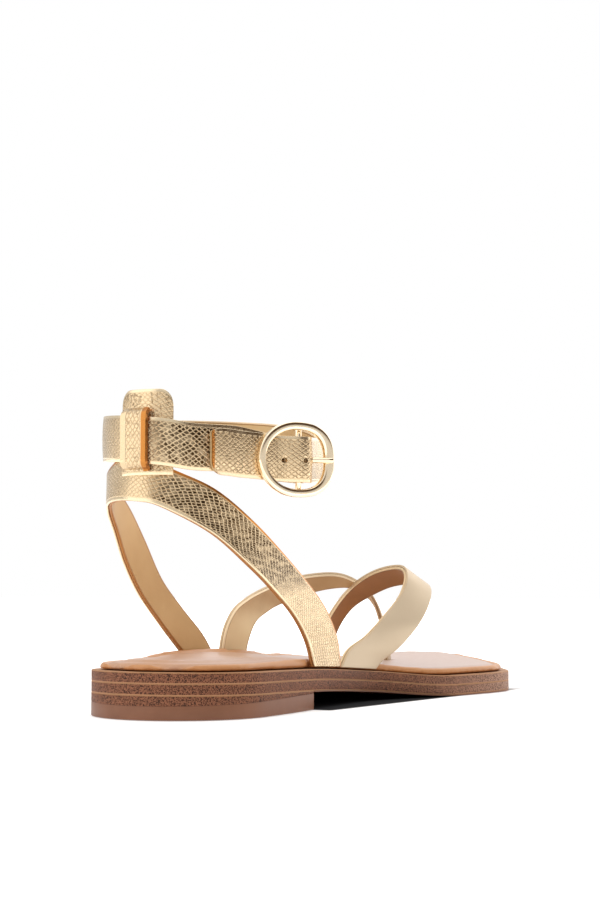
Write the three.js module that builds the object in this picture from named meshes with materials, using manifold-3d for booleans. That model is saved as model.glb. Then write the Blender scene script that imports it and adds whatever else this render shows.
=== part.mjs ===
// Flat sandal with a wrap-around heel strap, a buckled ankle strap and crossed front straps with a toe post.
// Right shoe, millimetres, +Z up. The toe points along -Y and the inner side of the foot lies towards +X.
// The origin is on the floor under the middle of the heel.

import * as THREE from 'three';
import { mergeVertices } from 'three/addons/utils/BufferGeometryUtils.js';
import Module from 'manifold-3d';

// Driving dimensions of the sole
const soleLength = 250;
const heelWidth = 57;
const waistWidth = 50.8;
const ballWidth = 87.4;
const heelReach = 32;
const seatHeight = 14;
const upperLayer = 3.1;
const lowerLayer = 3.4;
const treadLayer = 1;
const toeSpring = 2.6;
const heelBreast = 63;
const liftAtBack = 2.8;
const liftAtBreast = 0.6;
const layerGap = 0.3;

// Driving dimensions of the footbed
const footbedInset = 2.9;
const footbedDepth = 2.2;
const rimHeight = 2.6;
const archFlange = 4.6;
const rimRoll = 1.7;

// Driving dimensions of the straps
const strapWall = 1.8;
const ankleRise = 76;
const instepRise = 39;
const clearance = 0.3;
const footClearance = 0.7;
const wayClearance = 0.6;
const tabWall = 2;
const tabWidth = 20.4;
const tabBelow = 10.6;
const tabAbove = 15.2;
const tabCorner = 4.8;
const tabOffCentre = 4.3;
const ankleStrapWidth = 14;
const keeperWall = 1.3;
const keeperWidth = 7.8;
const keeperOffCentre = -3.1;
const keeperSeat = 1.2;
const backRadius = 17;
const backShare = 0.903;
const barShare = 0.839;

// Driving dimensions of the buckle
const barRadius = 1;
const eyeWall = 1.2;
const frameSwing = 30;
const frameHalfLength = 13.7;
const frameMargin = 2.1;
const frameFace = 2.5;
const frameThickness = 2;
const frameForward = -2.5;
const frameProud = 2.7;
const frameSquareness = 0.8;
const frameFaceAhead = 0.9;
const prongRadius = 0.9;
const prongReach = 9.4;
const prongEyeWall = 0.8;
const prongEyeHeight = 2.6;
const prongSlotHeight = 3.8;
const holeRadius = 0.8;
const holePitch = 6.3;
const holeBack = 0.4;
const holeRaise = -0.4;

const wasm = await Module();
wasm.setup();

const table = (columns, ...rows) => rows.map(
  (row) => Object.fromEntries(columns.map((name, i) => [name, row[i]])),
);

// Smooth curve through a table's column that never overshoots its rows
function follow(rows, key, along) {
  const at = rows.map((row) => row.along);
  const value = rows.map((row) => row[key]);
  const last = rows.length - 1;
  if (along <= at[0]) return value[0];
  if (along >= at[last]) return value[last];
  const slope = (i) => (value[i + 1] - value[i]) / (at[i + 1] - at[i]);
  const tangent = (i) => {
    if (i === 0) return slope(0);
    if (i === last) return slope(last - 1);
    const before = slope(i - 1);
    const after = slope(i);
    return before * after <= 0 ? 0 : (2 * before * after) / (before + after);
  };
  let i = 0;
  while (along > at[i + 1]) i += 1;
  const span = at[i + 1] - at[i];
  const t = (along - at[i]) / span;
  const rise = t * t * (3 - 2 * t);
  const ends = span * t * (1 - t) * ((1 - t) * tangent(i) - t * tangent(i + 1));
  return value[i] * (1 - rise) + value[i + 1] * rise + ends;
}

// Half widths of the sole along its length, as shares of the three widths
const outline = table(
  ['along', 'lateral', 'medial'],
  [0.00, 0.485 * heelWidth, 0.485 * heelWidth],
  [0.16, 0.500 * heelWidth, 0.500 * heelWidth],
  [0.42, 0.507 * waistWidth, 0.493 * waistWidth],
  [0.62, 0.493 * ballWidth, 0.435 * ballWidth],
  [0.73, 0.549 * ballWidth, 0.451 * ballWidth],
  [0.88, 0.349 * ballWidth, 0.482 * ballWidth],
  [1.00, 0.182 * ballWidth, 0.457 * ballWidth],
);
const heelRound = 0.498 * heelWidth;
const toeRound = 0.54 * ballWidth;

function soleEdges(along, inset = 0) {
  const distance = along * soleLength;
  const lateral = follow(outline, 'lateral', along);
  const medial = follow(outline, 'medial', along);
  const arc = (reach, radius) => (reach < radius ? Math.sqrt(1 - ((radius - reach) / radius) ** 2) : 1);
  const heelArc = arc(distance, heelRound);
  const toeArc = arc(soleLength - distance, toeRound);
  const middle = (medial - lateral) / 2;
  const half = ((medial + lateral) / 2) * heelArc * toeArc;
  const kept = Math.max(half - inset, half * 0.02);
  return { lateral: middle - kept, medial: middle + kept };
}

// Top of the stacked sole: down from the heel to the ball, then up at the toe
const foreHeight = upperLayer + lowerLayer + treadLayer - layerGap;
const profile = table(
  ['along', 'heelShare', 'toeShare'],
  [0.00, 1.00, 0],
  [0.25, 0.82, 0],
  [0.45, 0.42, 0],
  [0.60, 0.00, 0],
  [0.78, 0.00, 0],
  [0.90, 0.00, 0.30],
  [1.00, 0.00, 1],
);
const soleRise = (along) => (seatHeight - foreHeight) * follow(profile, 'heelShare', along)
  + toeSpring * follow(profile, 'toeShare', along);
const seat = (along) => foreHeight + soleRise(along);
const place = (along, side, height) => new THREE.Vector3(side, heelReach - along * soleLength, height);

// Closed skin over rings that all have the same number of corners
function skin(rings) {
  const corners = rings[0].length;
  const positions = rings.flat().flatMap((p) => [p.x, p.y, p.z]);
  const index = [];
  for (let r = 0; r < rings.length - 1; r += 1) {
    for (let c = 0; c < corners; c += 1) {
      const a = r * corners + c;
      const b = r * corners + ((c + 1) % corners);
      index.push(a, b, b + corners, a, b + corners, a + corners);
    }
  }
  const last = (rings.length - 1) * corners;
  for (let c = 1; c < corners - 1; c += 1) {
    index.push(0, c + 1, c);
    index.push(last, last + c, last + c + 1);
  }
  const geometry = new THREE.BufferGeometry();
  geometry.setAttribute('position', new THREE.Float32BufferAttribute(positions, 3));
  geometry.setIndex(index);
  return facingOut(geometry);
}

function facingOut(geometry) {
  const p = geometry.attributes.position;
  const index = Array.from(geometry.index.array);
  const [a, b, c] = [new THREE.Vector3(), new THREE.Vector3(), new THREE.Vector3()];
  let volume = 0;
  for (let i = 0; i < index.length; i += 3) {
    a.fromBufferAttribute(p, index[i]);
    b.fromBufferAttribute(p, index[i + 1]);
    c.fromBufferAttribute(p, index[i + 2]);
    volume += a.dot(b.cross(c));
  }
  if (volume < 0) {
    for (let i = 0; i < index.length; i += 3) [index[i], index[i + 1]] = [index[i + 1], index[i]];
  }
  geometry.setIndex(index);
  return geometry;
}

function solid(geometry) {
  const bare = geometry.clone();
  bare.deleteAttribute('normal');
  bare.deleteAttribute('uv');
  const merged = mergeVertices(bare, 1e-4);
  return new wasm.Manifold(new wasm.Mesh({
    numProp: 3,
    vertProperties: new Float32Array(merged.attributes.position.array),
    triVerts: new Uint32Array(merged.index.array),
  }));
}

function surface(manifold) {
  const mesh = manifold.getMesh();
  const geometry = new THREE.BufferGeometry();
  geometry.setAttribute('position', new THREE.BufferAttribute(mesh.vertProperties, 3));
  geometry.setIndex(new THREE.BufferAttribute(mesh.triVerts, 1));
  return geometry;
}

// Stacked sole
const steps = (count, from, to, ease) => Array.from(
  { length: count + 1 },
  (_, i) => from + (to - from) * ease(i / count),
);
const roundBothEnds = (t) => (1 - Math.cos(Math.PI * (0.004 + 0.992 * t))) / 2;
const roundHeelEnd = (t) => 1 - Math.cos((Math.PI / 2) * (0.008 + 0.992 * t));

function soleLayer(stations, top, bottom) {
  return skin(stations.map((along) => {
    const { lateral, medial } = soleEdges(along);
    return [
      place(along, lateral, bottom(along)),
      place(along, medial, bottom(along)),
      place(along, medial, top(along)),
      place(along, lateral, top(along)),
    ];
  }));
}

const wholeSole = steps(48, 0, 1, roundBothEnds);
const breast = heelBreast / soleLength;
const heelStations = steps(22, 0, breast, roundHeelEnd);
const roundToeEnd = (t) => Math.sin((Math.PI / 2) * 0.996 * t);
const foreStations = steps(36, breast + (2 * clearance) / soleLength, 1, roundToeEnd);
const upperBottom = (along) => seat(along) - upperLayer;
const lowerTop = (along) => upperBottom(along) - layerGap;
const lowerBottom = (along) => lowerTop(along) - (lowerLayer - layerGap);
const treadTop = (along) => lowerBottom(along) - layerGap;
const treadBottom = (along) => soleRise(along);
const liftThickness = (along) => liftAtBack + (liftAtBreast - liftAtBack) * (along / breast);
const liftTop = (along) => lowerBottom(along) - layerGap;
const liftBottom = (along) => liftTop(along) - liftThickness(along);
const heelTop = (along) => liftBottom(along) - layerGap;

const midsoleUpper = soleLayer(wholeSole, seat, upperBottom);
const midsoleLower = soleLayer(wholeSole, lowerTop, lowerBottom);
const outsole = soleLayer(foreStations, treadTop, treadBottom);
const heelLift = soleLayer(heelStations, liftTop, liftBottom);
const heelTread = soleLayer(heelStations, heelTop, () => 0);

// Padded footbed: dished, with a rolled rim that rises along the inner arch
const rim = table(
  ['along', 'lateralRim', 'medialRim'],
  [0.00, 0.75, 0.0],
  [0.14, 0.95, 0.0],
  [0.22, 1.25, 0.36],
  [0.36, 1.30, 0.74],
  [0.50, 1.00, 0.86],
  [0.60, 0.95, 1.00],
  [0.68, 0.95, 0.72],
  [0.76, 0.95, 0.38],
  [0.86, 0.95, 0.05],
  [1.00, 0.90, 0.0],
);

function footbedTop(along, across, half) {
  const lateralRim = rimHeight * follow(rim, 'lateralRim', along);
  const medialRim = lateralRim + archFlange * follow(rim, 'medialRim', along);
  const edge = across < 0 ? lateralRim : medialRim;
  const dish = footbedDepth + (edge - footbedDepth) * Math.abs(across) ** 2.6;
  const toEnd = Math.min(along, 1 - along) * (soleLength - 2 * footbedInset);
  const toEdge = Math.min((1 - Math.abs(across)) * half, toEnd);
  const roll = Math.max(0, 1 - toEdge / rimRoll);
  return dish - 0.62 * rimHeight * (1 - Math.sqrt(Math.max(0, 1 - roll * roll)));
}

const acrossFootbed = [-1, -0.985, -0.95, -0.9, -0.75, -0.5, -0.2, 0.2, 0.5, 0.75, 0.9, 0.95, 0.985, 1];
const footbed = skin(steps(52, 0, 1, roundBothEnds).map((share) => {
  const along = (footbedInset + share * (soleLength - 2 * footbedInset)) / soleLength;
  const edges = soleEdges(along);
  const narrowed = soleEdges(along, footbedInset);
  const ends = Math.min(1, Math.sqrt(Math.min(share, 1 - share) * 40 + 0.001));
  const middle = (narrowed.lateral + narrowed.medial) / 2;
  const half = Math.min((edges.medial - edges.lateral) / 2, ((narrowed.medial - narrowed.lateral) / 2)) * ends;
  const base = seat(along) + layerGap;
  const top = acrossFootbed.map(
    (across) => place(along, middle + across * half, base + footbedTop(share, across, half)),
  );
  return [...top, place(along, middle + half, base), place(along, middle - half, base)];
}));

// Straps: a strip of one wall between a rear edge and a front edge
function ribbon(rear, front, wall, perSpan = 3) {
  const rearEdge = new THREE.CatmullRomCurve3(rear, false, 'centripetal');
  const frontEdge = new THREE.CatmullRomCurve3(front, false, 'centripetal');
  const count = (rear.length - 1) * perSpan;
  return skin(steps(count, 0, 1, (t) => t).map((t) => {
    const a = rearEdge.getPoint(t);
    const b = frontEdge.getPoint(t);
    const run = rearEdge.getTangent(t).add(frontEdge.getTangent(t));
    const normal = b.clone().sub(a).cross(run).setLength(wall / 2);
    return [a.clone().add(normal), b.clone().add(normal), b.clone().sub(normal), a.clone().sub(normal)];
  }));
}

const strapColumns = ['rearAlong', 'rearSide', 'rearHeight', 'frontAlong', 'frontSide', 'frontHeight'];
const strapPoints = (rows, edge, half, rise) => rows.map((row) => {
  const along = row[`${edge}Along`];
  return place(along, row[`${edge}Side`] * half, seat(along) + row[`${edge}Height`] * rise);
});

// A strap's end stands on the stacked sole, in the ledge outside the footbed
function strapFoot(along, inner) {
  const { lateral, medial } = soleEdges(along, footbedInset / 2);
  return place(along, inner ? medial : lateral, seat(along) + footClearance);
}

function strapEdges(rows, rearFeet, frontFeet, half, rise) {
  const ends = (edge, [start, end]) => [start, ...strapPoints(rows, edge, half, rise), end];
  return { rear: ends('rear', rearFeet), front: ends('front', frontFeet) };
}

// The notch that a strap needs in the footbed: the strap grown by the clearance, with its ends carried down
function strapWay({ rear, front }) {
  const grown = (points, others, depth) => points.map((point, i) => {
    const atEnd = i === 0 || i === points.length - 1;
    const away = point.clone().sub(others[i]).setLength(wayClearance);
    return point.clone().add(away).sub(new THREE.Vector3(0, 0, atEnd ? depth : 0));
  });
  const sunk = footClearance + clearance;
  return solid(ribbon(grown(rear, front, sunk), grown(front, rear, sunk), strapWall + 3.2 * wayClearance));
}

// Heel strap from its outer foot, round the back under the ankle strap, to its inner foot
const heelStrapRows = table(
  strapColumns,
  [0.256, -0.875, 0.100, 0.339, -0.88, 0.126],
  [0.219, -0.885, 0.208, 0.308, -0.885, 0.242],
  [0.165, -0.89, 0.308, 0.255, -0.90, 0.346],
  [0.104, -0.835, 0.421, 0.187, -0.92, 0.455],
  [0.058, -0.64, 0.536, 0.108, -0.86, 0.583],
  [0.026, -0.37, 0.612, 0.059, -0.63, 0.700],
  [0.0150, -0.12, 0.654, 0.028, -0.28, 0.775],
  [0.0145, 0.05, 0.663, 0.018, 0.00, 0.850],
  [0.0205, 0.26, 0.669, 0.027, 0.25, 0.850],
  [0.042, 0.54, 0.664, 0.059, 0.64, 0.800],
  [0.080, 0.77, 0.634, 0.106, 0.88, 0.760],
  [0.114, 0.88, 0.557, 0.157, 0.95, 0.660],
  [0.139, 0.91, 0.447, 0.193, 0.96, 0.541],
  [0.174, 0.91, 0.315, 0.236, 0.95, 0.373],
  [0.220, 0.90, 0.194, 0.286, 0.93, 0.250],
  [0.270, 0.90, 0.082, 0.335, 0.88, 0.130],
);
const heelStrapEdges = strapEdges(
  heelStrapRows,
  [strapFoot(0.262, false), strapFoot(0.302, true)],
  [strapFoot(0.350, false), strapFoot(0.364, true)],
  heelWidth / 2,
  ankleRise,
);
const heelStrapBand = ribbon(heelStrapEdges.rear, heelStrapEdges.front, strapWall);

// Ankle strap: its middle surface in plan, from the back round the inner side and the front to the buckle
const swing = THREE.MathUtils.degToRad(frameSwing);
const barCentre = place(0.159, -1.190 * (heelWidth / 2), seatHeight + barShare * ankleRise);
const forward = new THREE.Vector3(-Math.sin(swing), -Math.cos(swing), 0);
const outward = new THREE.Vector3(-Math.cos(swing), Math.sin(swing), 0);
const up = new THREE.Vector3(0, 0, 1);
const atBuckle = (ahead, out, height) => barCentre.clone()
  .addScaledVector(forward, ahead)
  .addScaledVector(outward, out)
  .addScaledVector(up, height);

const eyeRadius = barRadius + clearance + eyeWall;
const innerLayer = -(eyeRadius - strapWall / 2);
const outerLayer = innerLayer + strapWall + clearance;
const crest = eyeRadius + clearance + strapWall / 2;

// The strap's short length: from the buckle bar back round the heel
const shortRun = table(
  ['ahead', 'out', 'height'],
  [0.0, innerLayer, 0.0],
  [-6.0, innerLayer, 0.4],
  [-13.5, innerLayer - 0.1, 1.4],
  [-22.0, innerLayer, 2.6],
);
const backRun = table(
  ['along', 'side', 'rise'],
  [0.0350, -0.490, 0.876],
  [0.0125, -0.270, 0.892],
  [0.0060, 0.000, backShare],
  [0.0130, 0.250, 0.911],
  [0.0350, 0.520, 0.920],
  [0.0820, 0.820, 0.932],
  [0.1500, 1.000, 0.947],
  [0.2150, 0.940, 0.959],
  [0.2650, 0.620, 0.965],
  [0.2880, 0.130, 0.957],
  [0.2830, -0.430, 0.934],
  [0.2630, -0.870, 0.894],
  [0.2360, -1.110, 0.856],
);
const longRun = table(
  ['ahead', 'out', 'height'],
  [9.0, -4.6, 0.6],
  [5.8, -1.4, 0.3],
  [3.5, 1.1, 0.1],
  [1.9, 2.8, 0.0],
  [0.0, crest, 0.0],
  [-3.4, crest - 0.7, 0.0],
  [-6.6, outerLayer + 0.8, 0.1],
  [-9.6, outerLayer, 0.3],
  [-15.0, outerLayer, 0.7],
  [-21.0, outerLayer, 1.0],
  [-26.0, outerLayer, 1.4],
);
const runCentres = [
  ...shortRun.map((row) => atBuckle(row.ahead, row.out, row.height)),
  ...backRun.map((row) => place(row.along, row.side * (heelWidth / 2), seatHeight + row.rise * ankleRise)),
  ...longRun.map((row) => atBuckle(row.ahead, row.out, row.height)),
];
const halfStrap = up.clone().multiplyScalar(ankleStrapWidth / 2);
const strapTip = table(
  ['ahead', 'lower', 'upper'],
  [-28.4, 0.99, 1.00],
  [-30.0, 0.88, 0.98],
  [-31.0, 0.66, 0.92],
  [-31.4, 0.40, 0.84],
);
const tipCentre = (row) => atBuckle(row.ahead, outerLayer, 1.6);
const ankleLower = [
  ...runCentres.map((p) => p.clone().sub(halfStrap)),
  ...strapTip.map((row) => tipCentre(row).addScaledVector(halfStrap, -row.lower)),
];
const ankleUpper = [
  ...runCentres.map((p) => p.clone().add(halfStrap)),
  ...strapTip.map((row) => tipCentre(row).addScaledVector(halfStrap, row.upper)),
];

function cylinderAlong(from, to, radius, sides = 20) {
  const axis = to.clone().sub(from);
  const geometry = new THREE.CylinderGeometry(radius, radius, axis.length(), sides);
  const upright = new THREE.Vector3(0, 1, 0);
  geometry.applyQuaternion(new THREE.Quaternion().setFromUnitVectors(upright, axis.normalize()));
  const middle = from.clone().add(to).multiplyScalar(0.5);
  geometry.translate(middle.x, middle.y, middle.z);
  return solid(geometry);
}

function blockAtBuckle(ahead, out, length, depth, height, turn = 0) {
  const geometry = new THREE.BoxGeometry(length, depth, height);
  geometry.rotateZ(turn);
  const axes = new THREE.Matrix4().makeBasis(forward, outward, up);
  geometry.applyMatrix4(axes);
  const centre = atBuckle(ahead, out, 0);
  geometry.translate(centre.x, centre.y, centre.z);
  return solid(facingOut(geometry));
}

const prongRest = frameProud + frameThickness / 2 + clearance + prongRadius;
const prongEyeRadius = barRadius + clearance + prongEyeWall;
const prongRoot = { ahead: 0.6 * prongEyeRadius, out: 0.6 * prongEyeRadius };
const prongKnee = { ahead: frameForward + frameHalfLength - frameFace - 0.6, out: prongRest };
const prongTurn = Math.atan2(prongKnee.out - prongRoot.out, prongKnee.ahead - prongRoot.ahead);
const prongPlay = 0.1;
const prongLength = Math.hypot(prongKnee.out - prongRoot.out, prongKnee.ahead - prongRoot.ahead);
const prongMiddle = {
  ahead: (prongKnee.ahead + prongRoot.ahead) / 2,
  out: (prongKnee.out + prongRoot.out) / 2,
};

const ankleBody = solid(ribbon(ankleLower, ankleUpper, strapWall, 3));
const eye = cylinderAlong(
  atBuckle(0, 0, -ankleStrapWidth / 2),
  atBuckle(0, 0, ankleStrapWidth / 2),
  eyeRadius,
);
const eyeBore = cylinderAlong(
  atBuckle(0, 0, -ankleStrapWidth),
  atBuckle(0, 0, ankleStrapWidth),
  barRadius + clearance,
);
const rootSlot = blockAtBuckle(clearance, 0, 2 * eyeRadius + 2, 2 * eyeRadius + clearance, prongSlotHeight);
const prongWay = blockAtBuckle(
  prongMiddle.ahead,
  prongMiddle.out,
  prongLength + 2,
  2 * (prongRadius + clearance + prongPlay),
  2 * (prongRadius + clearance + prongPlay),
  prongTurn,
);
const punched = [0, 1].map((hole) => cylinderAlong(
  atBuckle(-hole * holePitch - holeBack, innerLayer + strapWall, holeRaise),
  atBuckle(-hole * holePitch - holeBack, crest + strapWall, holeRaise),
  holeRadius,
  10,
));
const ankleStrap = [eyeBore, rootSlot, prongWay, ...punched].reduce(
  (strap, cut) => strap.subtract(cut),
  ankleBody.add(eye),
);

// Buckle: an oval frame with a set-back bar on two short posts
function ovalRing(halfLength, halfHeight, face, thickness, sides = 40) {
  const turns = steps(sides, 0, 2 * Math.PI, (t) => t).slice(0, -1);
  const flattened = (value, share) => Math.sign(value) * Math.abs(value) ** share;
  const corner = (turn, inset, out) => {
    const share = Math.cos(turn) > 0 ? frameSquareness : 1;
    const ahead = Math.max(0, Math.cos(turn)) ** 2 * frameFaceAhead * (inset / face);
    return atBuckle(
      frameForward + (halfLength - inset) * flattened(Math.cos(turn), share) - ahead,
      out,
      (halfHeight - inset) * flattened(Math.sin(turn), share),
    );
  };
  const chamfer = 0.25 * thickness;
  const rings = turns.map((turn) => [
    corner(turn, 0, frameProud - thickness / 2 + chamfer),
    corner(turn, chamfer, frameProud - thickness / 2),
    corner(turn, face - chamfer, frameProud - thickness / 2),
    corner(turn, face, frameProud - thickness / 2 + chamfer),
    corner(turn, face, frameProud + thickness / 2 - chamfer),
    corner(turn, face - chamfer, frameProud + thickness / 2),
    corner(turn, chamfer, frameProud + thickness / 2),
    corner(turn, 0, frameProud + thickness / 2 - chamfer),
  ]);
  const corners = rings[0].length;
  const positions = rings.flat().flatMap((p) => [p.x, p.y, p.z]);
  const index = [];
  for (let r = 0; r < sides; r += 1) {
    const next = (r + 1) % sides;
    for (let c = 0; c < corners; c += 1) {
      const d = (c + 1) % corners;
      index.push(r * corners + c, r * corners + d, next * corners + d);
      index.push(r * corners + c, next * corners + d, next * corners + c);
    }
  }
  const geometry = new THREE.BufferGeometry();
  geometry.setAttribute('position', new THREE.Float32BufferAttribute(positions, 3));
  geometry.setIndex(index);
  return facingOut(geometry);
}

const frameHalfHeight = ankleStrapWidth / 2 + frameMargin + frameFace;
const postHeight = frameHalfHeight * Math.sqrt(1 - (frameForward / frameHalfLength) ** 2) - frameFace / 2;
const barEnd = postHeight + 0.9 * barRadius;
const bar = cylinderAlong(atBuckle(0, 0, -barEnd), atBuckle(0, 0, barEnd), barRadius);
const posts = [-1, 1].map((end) => cylinderAlong(
  atBuckle(0, -0.4 * barRadius, end * postHeight),
  atBuckle(0, frameProud, end * postHeight),
  barRadius,
));
const ring = solid(ovalRing(frameHalfLength, frameHalfHeight, frameFace, frameThickness));
const buckleFrame = ring.add(bar).add(posts[0]).add(posts[1]);

// Prong: an eye on the bar and a round finger that bends at the frame and rests on it
function rod(points, radius, sides = 14, spans = 8) {
  const line = new THREE.CatmullRomCurve3(points, false, 'centripetal');
  const turns = steps(sides, 0, 2 * Math.PI, (t) => t).slice(0, -1);
  return skin(steps(spans, 0, 1, (t) => t).map((t) => {
    const across = line.getTangent(t).cross(up).setLength(radius);
    return turns.map((turn) => line.getPoint(t)
      .addScaledVector(across, Math.cos(turn))
      .addScaledVector(up, radius * Math.sin(turn)));
  }));
}
const finger = solid(rod([
  atBuckle(prongRoot.ahead, prongRoot.out, 0),
  atBuckle(prongKnee.ahead, prongKnee.out, 0),
  atBuckle(prongReach, prongRest, 0),
], prongRadius));
const onBar = (height, radius) => cylinderAlong(atBuckle(0, 0, -height / 2), atBuckle(0, 0, height / 2), radius);
const prongEye = onBar(prongEyeHeight, prongEyeRadius);
const prongBore = onBar(2 * prongEyeHeight, barRadius + clearance);
const buckleProng = prongEye.add(finger).subtract(prongBore);

// Back tab: it stands inside the ankle strap, on the heel strap, with round upper corners
const backLine = new THREE.CatmullRomCurve3(
  backRun.slice(0, 6).map((row) => place(row.along, row.side * (heelWidth / 2), 0)),
  false,
  'centripetal',
);
const backCentre = 0.41;
const backLength = backLine.getLength();

function atBack(sideways, inward, height) {
  const t = backCentre + sideways / backLength;
  const point = backLine.getPointAt(t);
  const run = backLine.getTangentAt(t);
  return point.add(new THREE.Vector3(run.y, -run.x, 0).setLength(inward)).add(new THREE.Vector3(0, 0, height));
}

const strapMiddleAtBack = seatHeight + backShare * ankleRise;
const tabInward = strapWall / 2 + clearance + tabWall / 2;
const tabShares = [-1, -0.94, -0.82, -0.62, -0.3, 0, 0.3, 0.62, 0.82, 0.94, 1];
const tabEdge = (share) => {
  const toSide = (1 - Math.abs(share)) * (tabWidth / 2);
  const round = Math.max(0, 1 - toSide / tabCorner);
  return strapMiddleAtBack + tabAbove - tabCorner * (1 - Math.sqrt(Math.max(0, 1 - round * round)));
};
const tabLine = (height) => tabShares.map(
  (share) => atBack(share * (tabWidth / 2) - tabOffCentre, tabInward, height(share)),
);
const tab = ribbon(tabLine(() => strapMiddleAtBack - tabBelow), tabLine(tabEdge), tabWall, 2);
const heelStrap = solid(heelStrapBand).add(solid(tab));

// Keeper: a narrow loop over the ankle strap with both ends sewn to the tab
const keeperBow = keeperWidth ** 2 / (8 * backRadius);
const onTab = keeperBow - (tabInward - tabWall / 2 - clearance - keeperWall / 2);
const overStrap = keeperBow + strapWall / 2 + 2 * clearance + keeperWall / 2;
const keeperRows = table(
  ['height', 'out'],
  [-ankleStrapWidth / 2 - clearance - keeperSeat - 0.8, onTab + 0.2],
  [-ankleStrapWidth / 2 - clearance - 1.4, onTab + 0.4],
  [-ankleStrapWidth / 2 - clearance - 0.1, overStrap - 0.1],
  [-ankleStrapWidth / 4, overStrap + 0.1],
  [ankleStrapWidth / 4, overStrap + 0.1],
  [ankleStrapWidth / 2 + clearance + 0.1, overStrap - 0.1],
  [ankleStrapWidth / 2 + clearance + 1.6, onTab + 0.2],
  [ankleStrapWidth / 2 + clearance + keeperSeat + 0.6, onTab],
);
const keeperEdge = (side) => keeperRows.map((row) => atBack(
  side * (keeperWidth / 2) + keeperOffCentre,
  -row.out,
  strapMiddleAtBack + row.height,
));
const keeper = ribbon(keeperEdge(-1), keeperEdge(1), keeperWall, 2);

// Front straps: the forefoot band, and over it the instep strap that narrows into the toe post
const forefootRows = table(
  strapColumns,
  [0.378, -0.562, 0.160, 0.474, -0.60, 0.100],
  [0.436, -0.575, 0.312, 0.508, -0.66, 0.232],
  [0.488, -0.59, 0.506, 0.553, -0.74, 0.482],
  [0.541, -0.605, 0.739, 0.597, -0.72, 0.692],
  [0.568, -0.58, 0.896, 0.628, -0.64, 0.805],
  [0.598, -0.47, 0.992, 0.654, -0.47, 0.851],
  [0.628, -0.21, 0.978, 0.684, -0.19, 0.831],
  [0.664, 0.08, 0.884, 0.720, 0.10, 0.749],
  [0.704, 0.35, 0.732, 0.752, 0.38, 0.626],
  [0.738, 0.58, 0.532, 0.784, 0.59, 0.472],
  [0.772, 0.79, 0.267, 0.828, 0.80, 0.252],
);
const instepRows = table(
  strapColumns,
  [0.374, 0.53, 0.188, 0.450, 0.56, 0.160],
  [0.383, 0.52, 0.361, 0.462, 0.56, 0.312],
  [0.404, 0.51, 0.513, 0.486, 0.58, 0.438],
  [0.434, 0.50, 0.612, 0.524, 0.60, 0.545],
  [0.476, 0.49, 0.704, 0.568, 0.60, 0.640],
  [0.532, 0.46, 0.806, 0.618, 0.51, 0.723],
  [0.590, 0.36, 0.881, 0.660, 0.38, 0.769],
  [0.644, 0.24, 0.890, 0.696, 0.27, 0.777],
  [0.690, 0.18, 0.826, 0.726, 0.21, 0.728],
  [0.732, 0.16, 0.697, 0.757, 0.19, 0.626],
  [0.774, 0.19, 0.515, 0.792, 0.21, 0.464],
  [0.798, 0.21, 0.310, 0.816, 0.22, 0.282],
);
const postFoot = (along, side) => place(along, side * (ballWidth / 2), seat(along) + footClearance);
const forefootEdges = strapEdges(
  forefootRows,
  [strapFoot(0.352, false), strapFoot(0.792, true)],
  [strapFoot(0.456, false), strapFoot(0.858, true)],
  ballWidth / 2,
  instepRise,
);
const instepEdges = strapEdges(
  instepRows,
  [strapFoot(0.377, true), postFoot(0.808, 0.215)],
  [strapFoot(0.449, true), postFoot(0.824, 0.222)],
  ballWidth / 2,
  instepRise,
);
const frontStraps = solid(ribbon(forefootEdges.rear, forefootEdges.front, strapWall))
  .add(solid(ribbon(instepEdges.rear, instepEdges.front, strapWall)));

// The straps pass the footbed in notches, and the toe post goes through a slot
const insole = solid(footbed)
  .subtract(strapWay(heelStrapEdges))
  .subtract(strapWay(forefootEdges))
  .subtract(strapWay(instepEdges));

// Finishes
const finish = (color, roughness, metalness) => new THREE.MeshStandardMaterial({ color, roughness, metalness });
const stackedLayer = () => finish(0x5f3a2b, 0.75, 0);
const smoothBrown = () => finish(0xa9745a, 0.5, 0);
const embossedGold = () => finish(0xd9b873, 0.3, 0.8);
const smoothGold = () => finish(0xe2c795, 0.35, 0.7);
const polishedGold = () => finish(0xe9c46a, 0.12, 1);
const footbedLeather = () => finish(0xd8a27e, 0.6, 0);

function piece(name, geometry, material) {
  const mesh = new THREE.Mesh(geometry, material);
  mesh.name = name;
  return mesh;
}

const sandal = new THREE.Group();
sandal.add(
  piece('midsole_upper', midsoleUpper, stackedLayer()),
  piece('midsole_lower', midsoleLower, stackedLayer()),
  piece('outsole', outsole, smoothBrown()),
  piece('heel_lift', heelLift, stackedLayer()),
  piece('heel_top', heelTread, smoothBrown()),
  piece('insole', surface(insole), footbedLeather()),
  piece('heel_strap', surface(heelStrap), embossedGold()),
  piece('keeper', keeper, embossedGold()),
  piece('front_straps', surface(frontStraps), smoothGold()),
  piece('ankle_strap', surface(ankleStrap), embossedGold()),
  piece('buckle_frame', surface(buckleFrame), polishedGold()),
  piece('buckle_prong', surface(buckleProng), polishedGold()),
);

export default sandal;
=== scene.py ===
import math
import bpy
from mathutils import Matrix, Vector


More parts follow.
